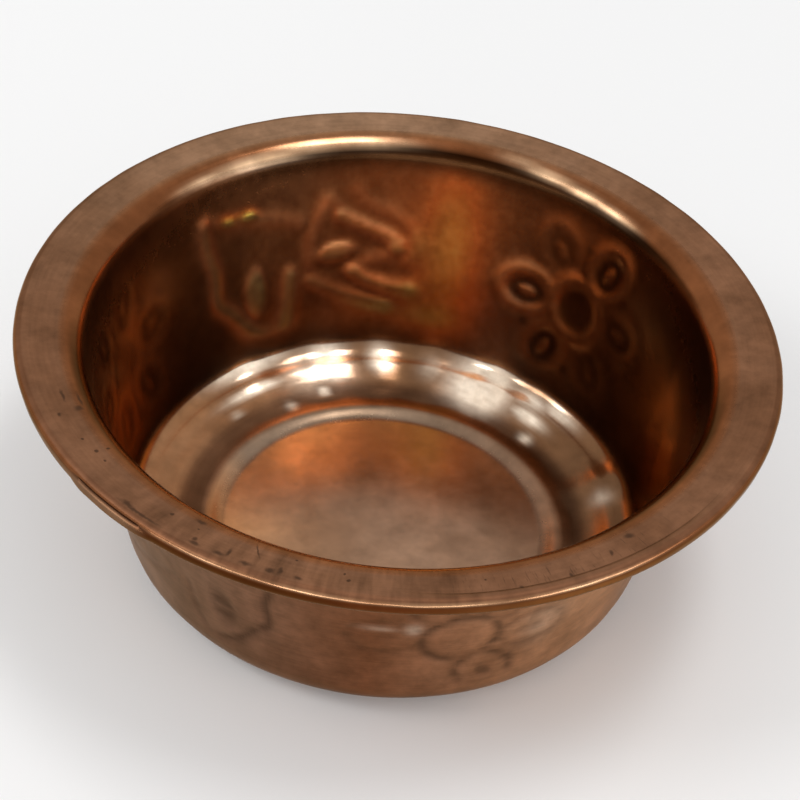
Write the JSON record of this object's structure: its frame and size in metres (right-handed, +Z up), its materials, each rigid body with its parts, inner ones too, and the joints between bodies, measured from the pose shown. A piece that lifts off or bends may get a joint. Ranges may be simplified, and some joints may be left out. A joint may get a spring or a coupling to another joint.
{
  "type": "offering bowl",
  "caption": "Round copper offering bowl with a leaning chased wall, wide flat flange, wire-rolled rim and pressed foot, for water or other offerings on an altar.",
  "frame": {"origin": "middle of the foot's underside, on the surface that the bowl stands on", "axes": "+Z up along the bowl's axis, X and Y level"},
  "size_m": [0.1, 0.1, 0.0364],
  "materials": {
    "copper_sheet": "hand-raised copper sheet, tarnished brown outside, polished inside",
    "copper_wire": "plain drawn copper wire"
  },
  "bodies": {
    "root": {"bowl_shell": "copper_sheet", "rim_wire": "copper_wire"}
  },
  "joints": []
}
